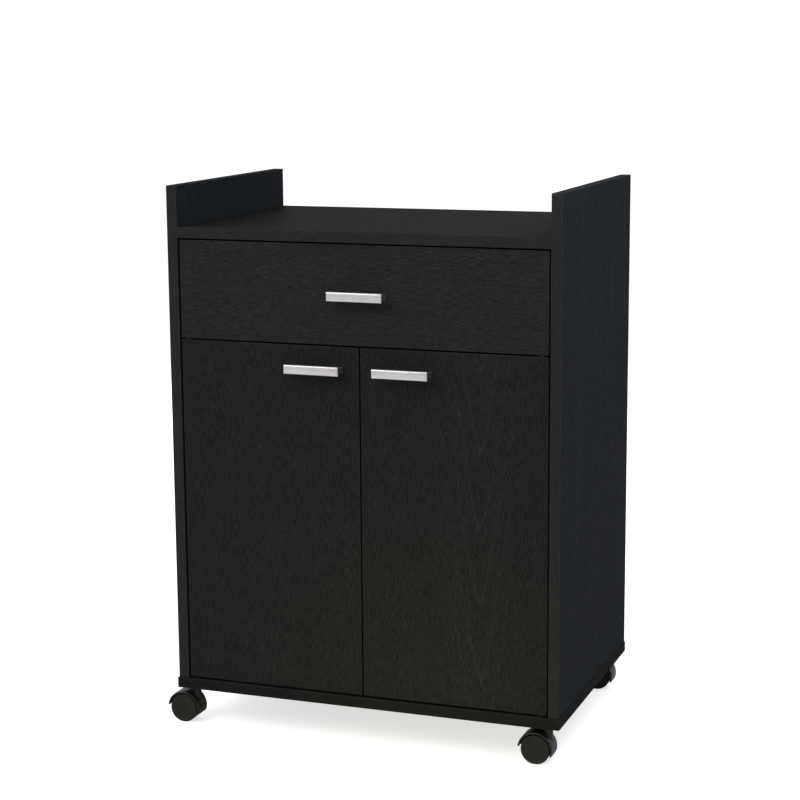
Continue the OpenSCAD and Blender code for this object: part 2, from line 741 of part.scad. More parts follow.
// Pull centred on x and z, standing out from the fronts
module handle_at(x, z) color(brushed_metal) in_frame() translate([x, front_recess, z]) difference() {
    union() {
        translate([-handle_l / 2, -handle_reach, -handle_h / 2]) intersection() {
            linear_extrude(handle_h) polygon([[0, handle_bevel], [handle_bevel, 0],
                [handle_l - handle_bevel, 0], [handle_l, handle_bevel], [handle_l, handle_t], [0, handle_t]]);
            along_x(handle_l) polygon([[handle_bevel, 0], [0, handle_bevel],
                [0, handle_h - handle_bevel], [handle_bevel, handle_h], [handle_t, handle_h], [handle_t, 0]]);
        }
        for (x0 = [-handle_l / 2, handle_l / 2 - leg_w])
            translate([x0, handle_t - handle_reach - cut / 2, -leg_h / 2])
                cube([leg_w, handle_reach - handle_t + cut / 2, leg_h]);
    }
    for (x1 = [-handle_hole_x, handle_hole_x]) translate([x1, -handle_screw_in - 1, 0])
        rod_y(handle_screw_d + 2 * fit, handle_screw_in + 1 + cut);
}

// Places the two screws of a handle, driven from behind its front
module handle_screw_places(x, z)
    for (side = [-1, 1]) translate([x + side * handle_hole_x, front_back, z])
        rotate([-90, 0, 0]) children();

module handle_screw_hole() translate([0, 0, -board_t - cut])
    cylinder(h = board_t + 2 * cut, d = handle_screw_d + 2 * fit);

module handle_screws(x, z) handle_screw_places(x, z)
    pan_screw(handle_screw_d, board_t + handle_screw_in);

module drawer_handle_screws() color(zinc) in_frame() handle_screws(0, drawer_handle_z);

// ---------------------------------------------------------------- doors

// Holes for the bushes at the top and bottom of the right door
module bush_places() {
    translate([hinge_x, hinge_y, door_z]) children();
    translate([hinge_x, hinge_y, door_top]) mirror([0, 0, 1]) children();
}

module strike_screw_place()
    translate([magnet_x, front_back + strike_t, strike_z]) rotate([-90, 0, 0]) children();

module door(side) color(laminate) in_frame() on_side(side) difference() {
    board_between([front_gap / 2, front_recess, door_z], [front_gap / 2 + door_w, front_back, door_top]);
    bush_places() translate([0, 0, -cut]) cylinder(h = bush_l + cut, d = bush_d + 2 * fit);
    handle_screw_places(door_handle_x, door_handle_z) handle_screw_hole();
    strike_screw_place() wood_screw_hole(screw_d, screw_l);
}

// Flanged bushes; the lower one's flange carries the door on its hinge plate
module door_bushes(side) color(nylon) in_frame() on_side(side) {
    translate([hinge_x, hinge_y, door_z]) door_bush(bottom_washer_t);
    translate([hinge_x, hinge_y, door_top]) mirror([0, 0, 1]) door_bush(hinge_gap - running_gap);
}

module door_bush(flange_t) difference() {
    union() {
        cylinder(h = bush_l, d = bush_d);
        translate([0, 0, -flange_t]) cylinder(h = flange_t, d = bush_d);
    }
    translate([0, 0, -flange_t - cut])
        cylinder(h = hinge_pin_l + 1 + flange_t + cut, d = hinge_pin_d + 2 * fit);
}

module strike_plate(side) color(zinc) in_frame() on_side(side) difference() {
    board_between([magnet_x - strike_w / 2, front_back, strike_z - strike_h / 2],
        [magnet_x + strike_w / 2, front_back + strike_t, strike_z + strike_h / 2], 0.3);
    strike_screw_place() wood_screw_hole(screw_d, screw_l);
}

module door_screws(side) color(zinc) in_frame() on_side(side) {
    handle_screws(door_handle_x, door_handle_z);
    strike_screw_place() wood_screw(screw_d, screw_l);
}

// ---------------------------------------------------------------- casters

// Draws children at the swivel axis of each caster
module each_caster()
    for (x = [-caster_x, caster_x], y = [caster_front_y, caster_rear_y])
        translate([x, y, 0]) children();

module caster_stems() color(zinc) in_frame() each_caster() difference() {
    union() {
        translate([0, 0, stem_end]) cylinder(h = caster_h - stem_end + insert_h - cut, d = stem_d);
        translate([0, 0, caster_h - collar_t]) cylinder(h = collar_t, d = collar_d);
    }
    // Groove for the ring that keeps the hood on
    translate([0, 0, stem_end + 2]) difference() {
        cylinder(h = clip_groove, d = stem_d + cut);
        translate([0, 0, -cut]) cylinder(h = clip_groove + 2 * cut, d = stem_d - 1.6);
    }
}

module insert_nuts() color(zinc) in_frame() each_caster() translate([0, 0, caster_h]) difference() {
    cylinder(h = insert_h, d = insert_d);
    translate([0, 0, -cut]) cylinder(h = insert_h + 2 * cut, d = stem_d + 2 * fit);
}

// Moulded hood with its web between the wheels, trailing towards -X
module caster_hood() difference() {
    union() {
        intersection() {
            union() {
                translate([0, 0, wheel_r]) cylinder(h = hood_top - wheel_r, d = neck_d);
                translate([-trail - hood_shift, -hood_w / 2, wheel_r]) rod_y(2 * hood_r, hood_w);
            }
            // The hood ends above the axle behind the wheels and below it in front
            translate([-trail, -hood_w / 2 - cut, 0]) along_y(hood_w + 2 * cut) polygon([
                [-2 * hood_r, hood_lip_z], [0, hood_lip_z], [0, hood_skirt_z],
                [2 * hood_r, hood_skirt_z], [2 * hood_r, caster_h], [-2 * hood_r, caster_h]]);
        }
        translate([-trail, -caster_web_t / 2, wheel_r]) rod_y(2 * axle_boss_r, caster_web_t);
    }
    // Room for the wheels on either side of the web
    for (side = [0, 1]) mirror([0, side, 0])
        translate([-trail - hood_shift, caster_web_t / 2, wheel_r])
            rod_y(2 * (hood_r - hood_wall), hood_w);
    translate([0, 0, stem_end - 2]) cylinder(h = hood_top, d = stem_d + 2 * fit);
    translate([-trail, -hood_w, wheel_r]) rod_y(axle_d + 2 * fit, 2 * hood_w);
}

module caster_axle() translate([-trail, -axle_l / 2, wheel_r]) rod_y(axle_d, axle_l);

// Profile of a wheel: rim, closed outer disc and hub with a blind bore.
// x is the radius, and y runs from the inner face to the outer face.
module wheel_profile() difference() {
    union() {
        square([wheel_r - tread_round, wheel_w]);
        translate([0, tread_round]) square([wheel_r, wheel_w - 2 * tread_round]);
        for (y = [tread_round, wheel_w - tread_round])
            translate([wheel_r - tread_round, y]) circle(r = tread_round);
    }
    // Open space behind the disc, between hub and rim
    translate([hub_d / 2, -cut]) square([wheel_r - rim_t - hub_d / 2, wheel_w - disc_t + cut]);
    // Shallow dish of the outer disc
    translate([0, wheel_w - disc_dish]) square([ring_r, cut]);
    // Bore for the axle
    translate([0, -cut]) square([axle_d / 2 + fit, wheel_bore_l + cut]);
}

// Wheel with its inner face at the origin and its axis along +Y
module wheel() rotate([-90, 0, 0]) {
    rotate_extrude($fn = 96) wheel_profile();
    // Ribs between hub and rim
    rib_t = 1.2;
    for (turn = [0 : 60 : 300]) rotate(turn)
        translate([hub_d / 2 - 0.3, -rib_t / 2, 1])
            cube([wheel_r - rim_t - hub_d / 2 + 0.6, rib_t, wheel_bore_l]);
}

// Places one caster's pieces: right is 1 or -1 and rear is true or false
module at_caster(right, rear) color(caster_plastic) in_frame()
    translate([right * caster_x, rear ? caster_rear_y : caster_front_y, 0]) children();

// Wheel on the caster's front side (-1) or rear side (1)
module caster_wheel(side) translate([-trail, side * (caster_web_t / 2 + wheel_gap), wheel_r])
    mirror([0, side > 0 ? 0 : 1, 0]) wheel();

// ---------------------------------------------------------------- nodes

base_board();
side_panel(-1);  // left_side_panel
side_panel(1);  // right_side_panel
top_shelf();
divider_panel();
back_panel();
inner_shelf();
shelf_pins();
dowels();
cam_bolts();
cam_locks();
base_screws();
cabinet_runner(-1);  // left_cabinet_runner
cabinet_runner(1);  // right_cabinet_runner
hardware_screws();
hinge_plates();
magnetic_catch();
catch_magnets();
caster_stems();
insert_nuts();
drawer_front();
drawer_side(-1);  // drawer_left_side
drawer_side(1);  // drawer_right_side
drawer_back();
drawer_bottom();
drawer_runner(-1);  // drawer_left_runner
drawer_runner(1);  // drawer_right_runner
handle_at(0, drawer_handle_z);  // drawer_handle
drawer_handle_screws();
drawer_fixings();
front_roller(-1);  // left_front_roller
front_roller(1);  // right_front_roller
rear_roller(-1);  // left_rear_roller
rear_roller(1);  // right_rear_roller
door(-1);  // left_door
handle_at(-door_handle_x, door_handle_z);  // left_door_handle
door_bushes(-1);  // left_door_bushes
strike_plate(-1);  // left_strike_plate
door_screws(-1);  // left_door_screws
door(1);  // right_door
handle_at(door_handle_x, door_handle_z);  // right_door_handle
door_bushes(1);  // right_door_bushes
strike_plate(1);  // right_strike_plate
door_screws(1);  // right_door_screws
at_caster(-1, false) caster_hood();  // fl_caster_hood
at_caster(-1, false) caster_axle();  // fl_caster_axle
at_caster(-1, false) caster_wheel(-1);  // fl_front_wheel
at_caster(-1, false) caster_wheel(1);  // fl_rear_wheel
at_caster(1, false) caster_hood();  // fr_caster_hood
at_caster(1, false) caster_axle();  // fr_caster_axle
at_caster(1, false) caster_wheel(-1);  // fr_front_wheel
at_caster(1, false) caster_wheel(1);  // fr_rear_wheel
at_caster(-1, true) caster_hood();  // rl_caster_hood
at_caster(-1, true) caster_axle();  // rl_caster_axle
at_caster(-1, true) caster_wheel(-1);  // rl_front_wheel
at_caster(-1, true) caster_wheel(1);  // rl_rear_wheel
at_caster(1, true) caster_hood();  // rr_caster_hood
at_caster(1, true) caster_axle();  // rr_caster_axle
at_caster(1, true) caster_wheel(-1);  // rr_front_wheel
at_caster(1, true) caster_wheel(1);  // rr_rear_wheel
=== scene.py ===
"""Finishes and fine shapes of the rolling kitchen cart, built round its fixed frame.

Lengths are in metres. X runs across the cart, Y from front to back and Z up.
"""
import json
import math
from typing import NamedTuple

import bmesh
import bpy
from mathutils import Matrix, Vector


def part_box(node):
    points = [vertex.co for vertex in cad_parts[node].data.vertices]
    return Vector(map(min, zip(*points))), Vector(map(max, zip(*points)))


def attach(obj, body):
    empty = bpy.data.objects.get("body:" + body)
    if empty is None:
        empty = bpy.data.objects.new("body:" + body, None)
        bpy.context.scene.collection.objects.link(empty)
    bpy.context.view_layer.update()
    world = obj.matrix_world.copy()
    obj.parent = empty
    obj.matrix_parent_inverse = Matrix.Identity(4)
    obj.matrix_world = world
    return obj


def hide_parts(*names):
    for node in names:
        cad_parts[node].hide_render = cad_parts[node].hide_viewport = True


bl_info = {
    "name": "Rolling Kitchen Cart",
    "version": (1, 0, 0),
    "blender": (4, 5, 0),
    "location": "View3D > Sidebar > Cart",
    "description": "Laminate boards, metal handles and hooded casters of a rolling kitchen cart",
    "category": "Object",
}

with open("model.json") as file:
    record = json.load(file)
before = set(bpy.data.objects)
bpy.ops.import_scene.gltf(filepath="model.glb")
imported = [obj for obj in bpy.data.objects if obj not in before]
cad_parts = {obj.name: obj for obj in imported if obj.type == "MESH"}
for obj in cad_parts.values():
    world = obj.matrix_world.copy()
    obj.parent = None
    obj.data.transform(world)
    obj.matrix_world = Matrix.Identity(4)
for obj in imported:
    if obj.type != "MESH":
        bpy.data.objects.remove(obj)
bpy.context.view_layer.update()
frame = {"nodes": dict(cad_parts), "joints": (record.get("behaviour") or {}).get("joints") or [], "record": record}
NODES = frame["nodes"]
NODE_BODY = {
    node: body for body, nodes in frame["record"]["behaviour"]["bodies"].items() for node in nodes
}
JOINTS = {joint["name"]: joint for joint in frame["joints"]}

CASTERS = ("fl", "fr", "rl", "rr")
MM = 0.001
# Radius of the ring that profiles are turned on
TURNING_R = 1 * MM


# ------------------------------------------------------------------ node trees

def add(tree, kind, settings=None, inputs=None):
    """Adds a node to a tree, sets its settings, and joins or fills its inputs."""
    node = tree.nodes.new(kind)
    for name, value in (settings or {}).items():
        setattr(node, name, value)
    for name, value in (inputs or {}).items():
        socket = node.inputs[name]
        if isinstance(value, bpy.types.NodeSocket):
            tree.links.new(value, socket)
        else:
            socket.default_value = value
    return node


def calc(tree, operation, *values, clamp=False):
    """Result of a Math node."""
    settings = {"operation": operation, "use_clamp": clamp}
    return add(tree, "ShaderNodeMath", settings, dict(enumerate(values))).outputs[0]


def vector_calc(tree, operation, *values):
    """Vector that a Vector Math node gives."""
    node = add(tree, "ShaderNodeVectorMath", {"operation": operation}, dict(enumerate(values)))
    return node.outputs["Vector"]


def noise(tree, vector, stretch, detail=2.0, roughness=0.5):
    """Noise whose features measure about one over the stretch along each axis."""
    scaled = vector_calc(tree, "MULTIPLY", vector, stretch)
    inputs = {"Vector": scaled, "Scale": 1.0, "Detail": detail, "Roughness": roughness}
    return add(tree, "ShaderNodeTexNoise", None, inputs).outputs["Fac"]


def remap(tree, value, low, high, to_low=0.0, to_high=1.0, smooth=False):
    """Value remapped from one range to another and held inside it."""
    settings = {"interpolation_type": "SMOOTHSTEP" if smooth else "LINEAR"}
    inputs = {
        "Value": value, "From Min": low, "From Max": high, "To Min": to_low, "To Max": to_high,
    }
    return add(tree, "ShaderNodeMapRange", settings, inputs).outputs["Result"]


def blend_colours(tree, factor, first, second):
    """Mix of two colours."""
    inputs = {0: factor, 6: first, 7: second}
    return add(tree, "ShaderNodeMix", {"data_type": "RGBA"}, inputs).outputs[2]


def new_group(name, inputs, outputs, kind="ShaderNodeTree"):
    """New node group; returns the tree, what it is given, and the sockets that it has to fill."""
    tree = bpy.data.node_groups.new(name, kind)
    for label, value_kind, default in inputs:
        socket_type = "NodeSocket" + value_kind
        socket = tree.interface.new_socket(label, in_out="INPUT", socket_type=socket_type)
        if default is not None:
            socket.default_value = default
    for label, value_kind in outputs:
        socket_type = "NodeSocket" + value_kind
        tree.interface.new_socket(label, in_out="OUTPUT", socket_type=socket_type)
    return tree, tree.nodes.new("NodeGroupInput").outputs, tree.nodes.new("NodeGroupOutput").inputs


def place_group(tree, name, inputs):
    """Places a shader node group in a material; returns what it gives."""
    return add(tree, "ShaderNodeGroup", {"node_tree": bpy.data.node_groups[name]}, inputs).outputs


# ------------------------------------------------------------------ effects shared by materials

def build_grain_group():
    """Black open-pore woodgrain that runs along Z, with arches nested along Z."""
    tree, given, out = new_group(
        "open_grain",
        [
            ("Vector", "Vector", None), ("Seed", "Float", 0.0), ("Long Lines", "Float", 0.0),
            ("Arches", "Float", 0.0), ("Arch Place", "Float", 0.0), ("Arch Level", "Float", 0.0),
            ("Arch Length", "Float", 0.1),
        ],
        [("Tone", "Float"), ("Height", "Float")],
    )
    # How many of each fit in a metre across, through and along the grain
    wander_count, streak_count, long_streak_count = (14, 14, 4), (1000, 1000, 80), (230, 230, 14)
    cluster_count, pore_count, line_count = (30, 30, 3), (1700, 1700, 80), (8, 8, 0.5)
    wander_reach, line_width = 14 * MM, 0.012

    offset = add(tree, "ShaderNodeCombineXYZ", None, {0: given["Seed"], 1: 0.0, 2: given["Seed"]})
    place = vector_calc(tree, "ADD", given["Vector"], offset.outputs[0])

    # The fibres wander a few millimetres sideways along the board
    wander = calc(tree, "SUBTRACT", noise(tree, place, wander_count), 0.5)
    wander = calc(tree, "MULTIPLY", wander, wander_reach)
    sideways = add(tree, "ShaderNodeCombineXYZ", None, {0: wander, 1: 0.0, 2: 0.0}).outputs[0]
    fibre = vector_calc(tree, "ADD", place, sideways)

    streaks = remap(tree, noise(tree, fibre, streak_count, 3.0, 0.7), 0.35, 0.65)
    long_streaks = remap(tree, noise(tree, fibre, long_streak_count, 2.0, 0.6), 0.3, 0.7)
    clusters = remap(tree, noise(tree, fibre, cluster_count, 2.0, 0.5), 0.3, 0.7)
    pores = remap(tree, noise(tree, fibre, pore_count, 1.0, 0.5), 0.55, 0.68)
    pores = calc(tree, "MULTIPLY", pores, remap(tree, clusters, 0.3, 0.7))

    # A few thin lines run the whole length of a board
    crossing = calc(tree, "SUBTRACT", noise(tree, place, line_count, 1.0), 0.5)
    lines = remap(tree, calc(tree, "ABSOLUTE", crossing), 0.0, line_width, 1.0, 0.0)
    lines = calc(tree, "MULTIPLY", calc(tree, "MULTIPLY", lines, given["Long Lines"]), streaks)

    rings = growth_rings(tree, given, wander, streaks)
    tone = 0.0
    shares = ((streaks, 0.74), (long_streaks, 0.12), (clusters, 0.14), (rings, 0.55), (lines, 0.35))
    for part, share in shares:
        tone = calc(tree, "MULTIPLY_ADD", part, share, tone)
    tone = calc(tree, "SUBTRACT", tone, calc(tree, "MULTIPLY", pores, 0.3), clamp=True)
    tree.links.new(tone, out["Tone"])

    height = calc(tree, "SUBTRACT", calc(tree, "MULTIPLY", streaks, 0.5), pores)
    tree.links.new(height, out["Height"])


def growth_rings(tree, given, wander, streaks):
    """Nested narrow arches of the growth rings, opening upwards and fading towards the sides."""
    slope, tip, fade_rate, fray = 6.5, 8 * MM, 420.0, 0.16
    fine_count, fine_share = 5.0, 0.45
    parts = add(tree, "ShaderNodeSeparateXYZ", None, {0: given["Vector"]})
    across = calc(tree, "ADD", parts.outputs[0], wander)
    across = calc(tree, "SUBTRACT", across, given["Arch Place"])
    squared = calc(tree, "MULTIPLY", across, across)
    arm = calc(tree, "SQRT", calc(tree, "ADD", squared, tip * tip))
    climb = calc(tree, "SUBTRACT", parts.outputs[2], given["Arch Level"])
    fall = calc(tree, "MULTIPLY", calc(tree, "SUBTRACT", arm, tip), slope)
    climb = calc(tree, "SUBTRACT", climb, fall)
    frayed = calc(tree, "MULTIPLY", calc(tree, "SUBTRACT", streaks, 0.5), fray)
    turns = calc(tree, "ADD", calc(tree, "DIVIDE", climb, given["Arch Length"]), frayed)
    bold = ring_lines(tree, turns, 1.0, 0.9)
    fine = ring_lines(tree, turns, fine_count, 0.5)
    rings = calc(tree, "ADD", bold, calc(tree, "MULTIPLY", fine, fine_share))
    rings = calc(tree, "MULTIPLY", rings, remap(tree, streaks, 0.0, 0.75))
    fade = calc(tree, "EXPONENT", calc(tree, "MULTIPLY", squared, -fade_rate))
    return calc(tree, "MULTIPLY", calc(tree, "MULTIPLY", rings, fade), given["Arches"])


def ring_lines(tree, turns, count, start):
    """Thin lines, a given number in each turn."""
    wave = calc(tree, "COSINE", calc(tree, "MULTIPLY", turns, math.tau * count))
    return remap(tree, wave, start, 1.0, smooth=True)


def build_edge_group():
    """Masks of the painted highlight along a board's edges and of its front and rear edge bands, from its half
    size.
    """
    tree, given, out = new_group(
        "board_edges",
        [("Vector", "Vector", None), ("Half Size", "Vector", None), ("Width", "Float", 1.2 * MM)],
        [("Edge", "Float"), ("Band", "Float")],
    )
    # A point within this depth of the front or the rear face lies on a band
    band_depth = 0.3 * MM
    absolute = vector_calc(tree, "ABSOLUTE", given["Vector"])
    beyond = vector_calc(tree, "SUBTRACT", absolute, given["Half Size"])
    axes = add(tree, "ShaderNodeSeparateXYZ", None, {0: beyond})
    low = calc(tree, "MULTIPLY", given["Width"], -1.0)
    near = [remap(tree, axes.outputs[i], low, 0.0, smooth=True) for i in range(3)]
    pairs = [calc(tree, "MULTIPLY", near[i], near[(i + 1) % 3]) for i in range(3)]
    edge = calc(tree, "MAXIMUM", calc(tree, "MAXIMUM", pairs[0], pairs[1]), pairs[2])
    # Painted highlight on the edges, broken into patches by noise
    highlight_patches = remap(tree, noise(tree, given["Vector"], (60, 60, 60), 3.0), 0.35, 0.6, 0.45, 1.0)
    tree.links.new(calc(tree, "MULTIPLY", edge, highlight_patches), out["Edge"])
    tree.links.new(calc(tree, "GREATER_THAN", axes.outputs[1], -band_depth), out["Band"])


def build_brushed_group():
    """Fine brushed lines along X on metal."""
    tree, given, out = new_group(
        "brushed_lines", [("Vector", "Vector", None)], [("Line", "Float"), ("Cloud", "Float")]
    )
    tree.links.new(noise(tree, given["Vector"], (40, 5200, 5200), 2.0, 0.6), out["Line"])
    tree.links.new(noise(tree, given["Vector"], (70, 90, 90), 2.0, 0.5), out["Cloud"])


def build_moulded_group():
    """Fine leathery texture of moulded plastic, with faint flow clouds."""
    tree, given, out = new_group(
        "moulded_skin", [("Vector", "Vector", None)], [("Spark", "Float"), ("Cloud", "Float")]
    )
    tree.links.new(noise(tree, given["Vector"], (1500, 1500, 1500), 2.0, 0.6), out["Spark"])
    tree.links.new(noise(tree, given["Vector"], (55, 55, 55), 2.0, 0.5), out["Cloud"])


# ------------------------------------------------------------------ materials

def linear(colour):
    """Screen colour, three values from 0 to 1, as the linear colour that a shader takes."""
    curve = [c / 12.92 if c <= 0.04045 else ((c + 0.055) / 1.055) ** 2.4 for c in colour]
    return (*curve, 1.0)


def shade(colour, factor):
    """Linear colour made lighter or darker."""
    return tuple(c * factor for c in colour[:3]) + (1.0,)


def new_material(name, **sockets):
    """New material; returns it, its tree and its Principled shader with the sockets set."""
    material = bpy.data.materials.new(name)
    material.use_nodes = True
    tree = material.node_tree
    shader = tree.nodes["Principled BSDF"]
    for label, value in sockets.items():
        shader.inputs[label.replace("_", " ")].default_value = value
    return material, tree, shader


def object_place(tree):
    """Object coordinates."""
    return add(tree, "ShaderNodeTexCoord").outputs["Object"]


def set_bump(tree, shader, height, distance, strength=1.0):
    """Feeds a height into the shader's normal."""
    inputs = {"Height": height, "Distance": distance, "Strength": strength}
    bump = add(tree, "ShaderNodeBump", None, inputs)
    tree.links.new(bump.outputs["Normal"], shader.inputs["Normal"])


def speckled(tree, shader, factor, colour, dark, light):
    """Feeds the shader a colour that runs from a darker to a lighter shade of one colour."""
    base = linear(colour)
    colours = blend_colours(tree, factor, shade(base, dark), shade(base, light))
    tree.links.new(colours, shader.inputs["Base Color"])


# Rows are the board's across, depth and grain directions
GRAIN_UP_FRONT = ((1, 0, 0), (0, 1, 0), (0, 0, 1))
GRAIN_UP_SIDE = ((0, 1, 0), (-1, 0, 0), (0, 0, 1))
GRAIN_ACROSS_FRONT = ((0, 0, -1), (0, 1, 0), (1, 0, 0))
GRAIN_ACROSS_FLAT = ((0, 1, 0), (0, 0, 1), (1, 0, 0))
# Colour of the painted highlight along the laminate's edges
PAINTED_EDGE_HIGHLIGHT = (0.45, 0.45, 0.44)


class Arches(NamedTuple):
    """Arches in a board's grain: strength, place across it, level of one tip and spacing."""

    strength: float = 0.0
    place: float = 0.0
    level: float = 0.0
    length: float = 0.1


def laminate(node, colour, turn, seed, arches=Arches(), lines=0.0, band=None):
    """Woodgrain laminate for one board, with its grain turned, its edges banded and a painted highlight along its
    edges.
    """
    settings = bpy.context.scene.cart
    low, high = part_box(node)
    centre, half = (low + high) / 2, (high - low) / 2
    rows = Matrix(turn)
    gloss = settings.laminate_gloss
    material, tree, shader = new_material(node + "_laminate", Specular_IOR_Level=gloss)
    place = object_place(tree)
    mapping = {"Location": -(rows @ centre), "Rotation": rows.to_euler(), "Vector": place}
    turned = add(tree, "ShaderNodeMapping", None, mapping).outputs["Vector"]
    centred = vector_calc(tree, "SUBTRACT", place, centre)
    grain = place_group(tree, "open_grain", {
        "Vector": turned, "Seed": seed, "Long Lines": lines, "Arches": arches.strength,
        "Arch Place": arches.place, "Arch Level": arches.level, "Arch Length": arches.length,
    })
    edge = place_group(tree, "board_edges", {"Vector": centred, "Half Size": half})
    contrast, tone = settings.grain_contrast, grain["Tone"]
    base = linear(colour)
    wood = blend_colours(tree, tone, shade(base, 1.0 - contrast), shade(base, 1.0 + contrast))
    if band:
        # The bands' grain is half as strong as the faces'
        base = linear(band)
        darker, lighter = shade(base, 1.0 - contrast / 2), shade(base, 1.0 + contrast / 2)
        strip = blend_colours(tree, tone, darker, lighter)
        wood = blend_colours(tree, edge["Band"], wood, strip)
    # Painted highlight: the edges are blended towards a pale grey
    lit = calc(tree, "MULTIPLY", edge["Edge"], settings.edge_light)
    tree.links.new(blend_colours(tree, lit, wood, linear(PAINTED_EDGE_HIGHLIGHT)), shader.inputs["Base Color"])
    tree.links.new(remap(tree, tone, 0.0, 1.0, 0.66, 0.5), shader.inputs["Roughness"])
    set_bump(tree, shader, grain["Height"], settings.pore_depth)
    return material


def plain_board(name, colour, stretch, roughness):
    """Plain faced board: a fine paper-like speckle with no figure."""
    material, tree, shader = new_material(name, Specular_IOR_Level=0.3)
    fibres = noise(tree, object_place(tree), stretch, 3.0, 0.6)
    speckled(tree, shader, remap(tree, fibres, 0.3, 0.7), colour, 0.7, 1.4)
    rough = remap(tree, fibres, 0.3, 0.7, roughness + 0.06, roughness - 0.06)
    tree.links.new(rough, shader.inputs["Roughness"])
    set_bump(tree, shader, fibres, 0.08 * MM, 0.5)
    return material


def brushed_metal(name, colour, roughness):
    """Metal brushed along X."""
    material, tree, shader = new_material(name, Metallic=1.0)
    brushed = place_group(tree, "brushed_lines", {"Vector": object_place(tree)})
    tint = calc(tree, "ADD", calc(tree, "MULTIPLY", brushed["Line"], 0.6),
                calc(tree, "MULTIPLY", brushed["Cloud"], 0.4))
    speckled(tree, shader, remap(tree, tint, 0.3, 0.7), colour, 0.88, 1.08)
    rough = remap(tree, brushed["Line"], 0.3, 0.7, roughness - 0.07, roughness + 0.09)
    tree.links.new(rough, shader.inputs["Roughness"])
    set_bump(tree, shader, brushed["Line"], 0.03 * MM, 0.5)
    return material


def plated_metal(name, colour, roughness, spread=0.25):
    """Plated or cast metal with a cloudy tone and fine grit."""
    material, tree, shader = new_material(name, Metallic=1.0)
    skin = place_group(tree, "moulded_skin", {"Vector": object_place(tree)})
    cloud = remap(tree, skin["Cloud"], 0.3, 0.7)
    speckled(tree, shader, cloud, colour, 1.0 - spread, 1.0 + spread / 2)
    rough = remap(tree, skin["Spark"], 0.3, 0.7, roughness - 0.06, roughness + 0.08)
    tree.links.new(rough, shader.inputs["Roughness"])
    set_bump(tree, shader, skin["Spark"], 0.02 * MM, 0.4)
    return material


def skin_material(name, colour, roughness, grit, gloss=0.5):
    """Moulded plastic or a powder coat: fine grit with faint clouds."""
    material, tree, shader = new_material(name, Specular_IOR_Level=gloss)
    skin = place_group(tree, "moulded_skin", {"Vector": object_place(tree)})
    speckled(tree, shader, remap(tree, skin["Cloud"], 0.3, 0.7), colour, 0.88, 1.12)
    rough = remap(tree, skin["Spark"], 0.3, 0.7, roughness - 0.05, roughness + 0.07)
    tree.links.new(rough, shader.inputs["Roughness"])
    set_bump(tree, shader, skin["Spark"], grit, 0.6)
    return material


def beech(name):
    """Pale dowel wood."""
    material, tree, shader = new_material(name, Roughness=0.6)
    fibres = noise(tree, object_place(tree), (300, 1500, 1500), 3.0, 0.6)
    dark, light = linear((0.66, 0.5, 0.33)), linear((0.84, 0.7, 0.5))
    wood = blend_colours(tree, remap(tree, fibres, 0.3, 0.7), dark, light)
    tree.links.new(wood, shader.inputs["Base Color"])
    set_bump(tree, shader, fibres, 0.05 * MM, 0.5)
    return material


def finish_node(node, material):
    """Gives a CAD node its material in every slot."""
    slots = NODES[node].material_slots
    for slot in slots:
        slot.material = material
    if not slots:
        NODES[node].data.materials.append(material)


# ------------------------------------------------------------------ pieces

def arc(centre, radius, start, end, steps):
    """Points on an arc from one angle to another, both ends included."""
    angles = [math.radians(start + (end - start) * i / steps) for i in range(steps + 1)]
    return [(centre[0] + radius * math.cos(a), centre[1] + radius * math.sin(a)) for a in angles]


def link_data(name, data):
    """Puts a mesh, a light or a camera in the scene as an object at the origin."""
    item = bpy.data.objects.new(name, data)
    bpy.context.scene.collection.objects.link(item)
    return item


def mesh_from(name, bm):
    """Mesh of worked data, with its doubles merged and its faces turned outwards."""
    bmesh.ops.remove_doubles(bm, verts=bm.verts, dist=0.001 * MM)
    bmesh.ops.recalc_face_normals(bm, faces=bm.faces)
    mesh = bpy.data.meshes.new(name)
    bm.to_mesh(mesh)
    bm.free()
    return mesh


def baked(item):
    """Mesh of an object with its modifiers applied; the object goes."""
    evaluated = item.evaluated_get(bpy.context.evaluated_depsgraph_get())
    mesh = bpy.data.meshes.new_from_object(evaluated)
    item.modifiers.clear()
    bpy.data.objects.remove(item)
    return mesh


def box_mesh(name, low, high):
    """Box between two corners."""
    bm = bmesh.new()
    bmesh.ops.create_cube(bm, size=1.0)
    for vert in bm.verts:
        vert.co = [high[i] if vert.co[i] > 0 else low[i] for i in range(3)]
    return mesh_from(name, bm)


def prism_mesh(name, outline, low, high):
    """Outline in X and Z carried along Y from low to high."""
    bm = bmesh.new()
    face = bm.faces.new([bm.verts.new((x, low, z)) for x, z in outline])
    carried = bmesh.ops.extrude_face_region(bm, geom=[face])["geom"]
    moved = [item for item in carried if isinstance(item, bmesh.types.BMVert)]
    bmesh.ops.translate(bm, verts=moved, vec=(0, high - low, 0))
    return mesh_from(name, bm)


def shaped(name, mesh, cuts, bevel, segments):
    """Mesh joined to or cut by others in turn, then bevelled along its sharp edges."""
    item = link_data(name, mesh)
    tools = []
    for operation, tool_mesh in cuts:
        tools.append(link_data(name + "_tool", tool_mesh))
        step = item.modifiers.new(operation, "BOOLEAN")
        step.operation = operation
        step.solver = "EXACT"
        step.object = tools[-1]
    edges = item.modifiers.new("edges", "BEVEL")
    edges.width = bevel
    edges.segments = segments
    edges.limit_method = "ANGLE"
    edges.angle_limit = math.radians(30)
    mesh = baked(item)
    for tool in tools:
        bpy.data.objects.remove(tool)
    return mesh


def add_piece(name, mesh, material, node, sharp=40.0):
    """Makes a mesh a piece of the cart: it stands for a node and rides on the node's body."""
    mesh.name = name
    mesh.shade_smooth()
    mesh.set_sharp_from_angle(angle=math.radians(sharp))
    mesh.materials.clear()
    mesh.materials.append(material)
    piece = link_data(name, mesh)
    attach(piece, NODE_BODY[node])
    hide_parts(node)
    return piece


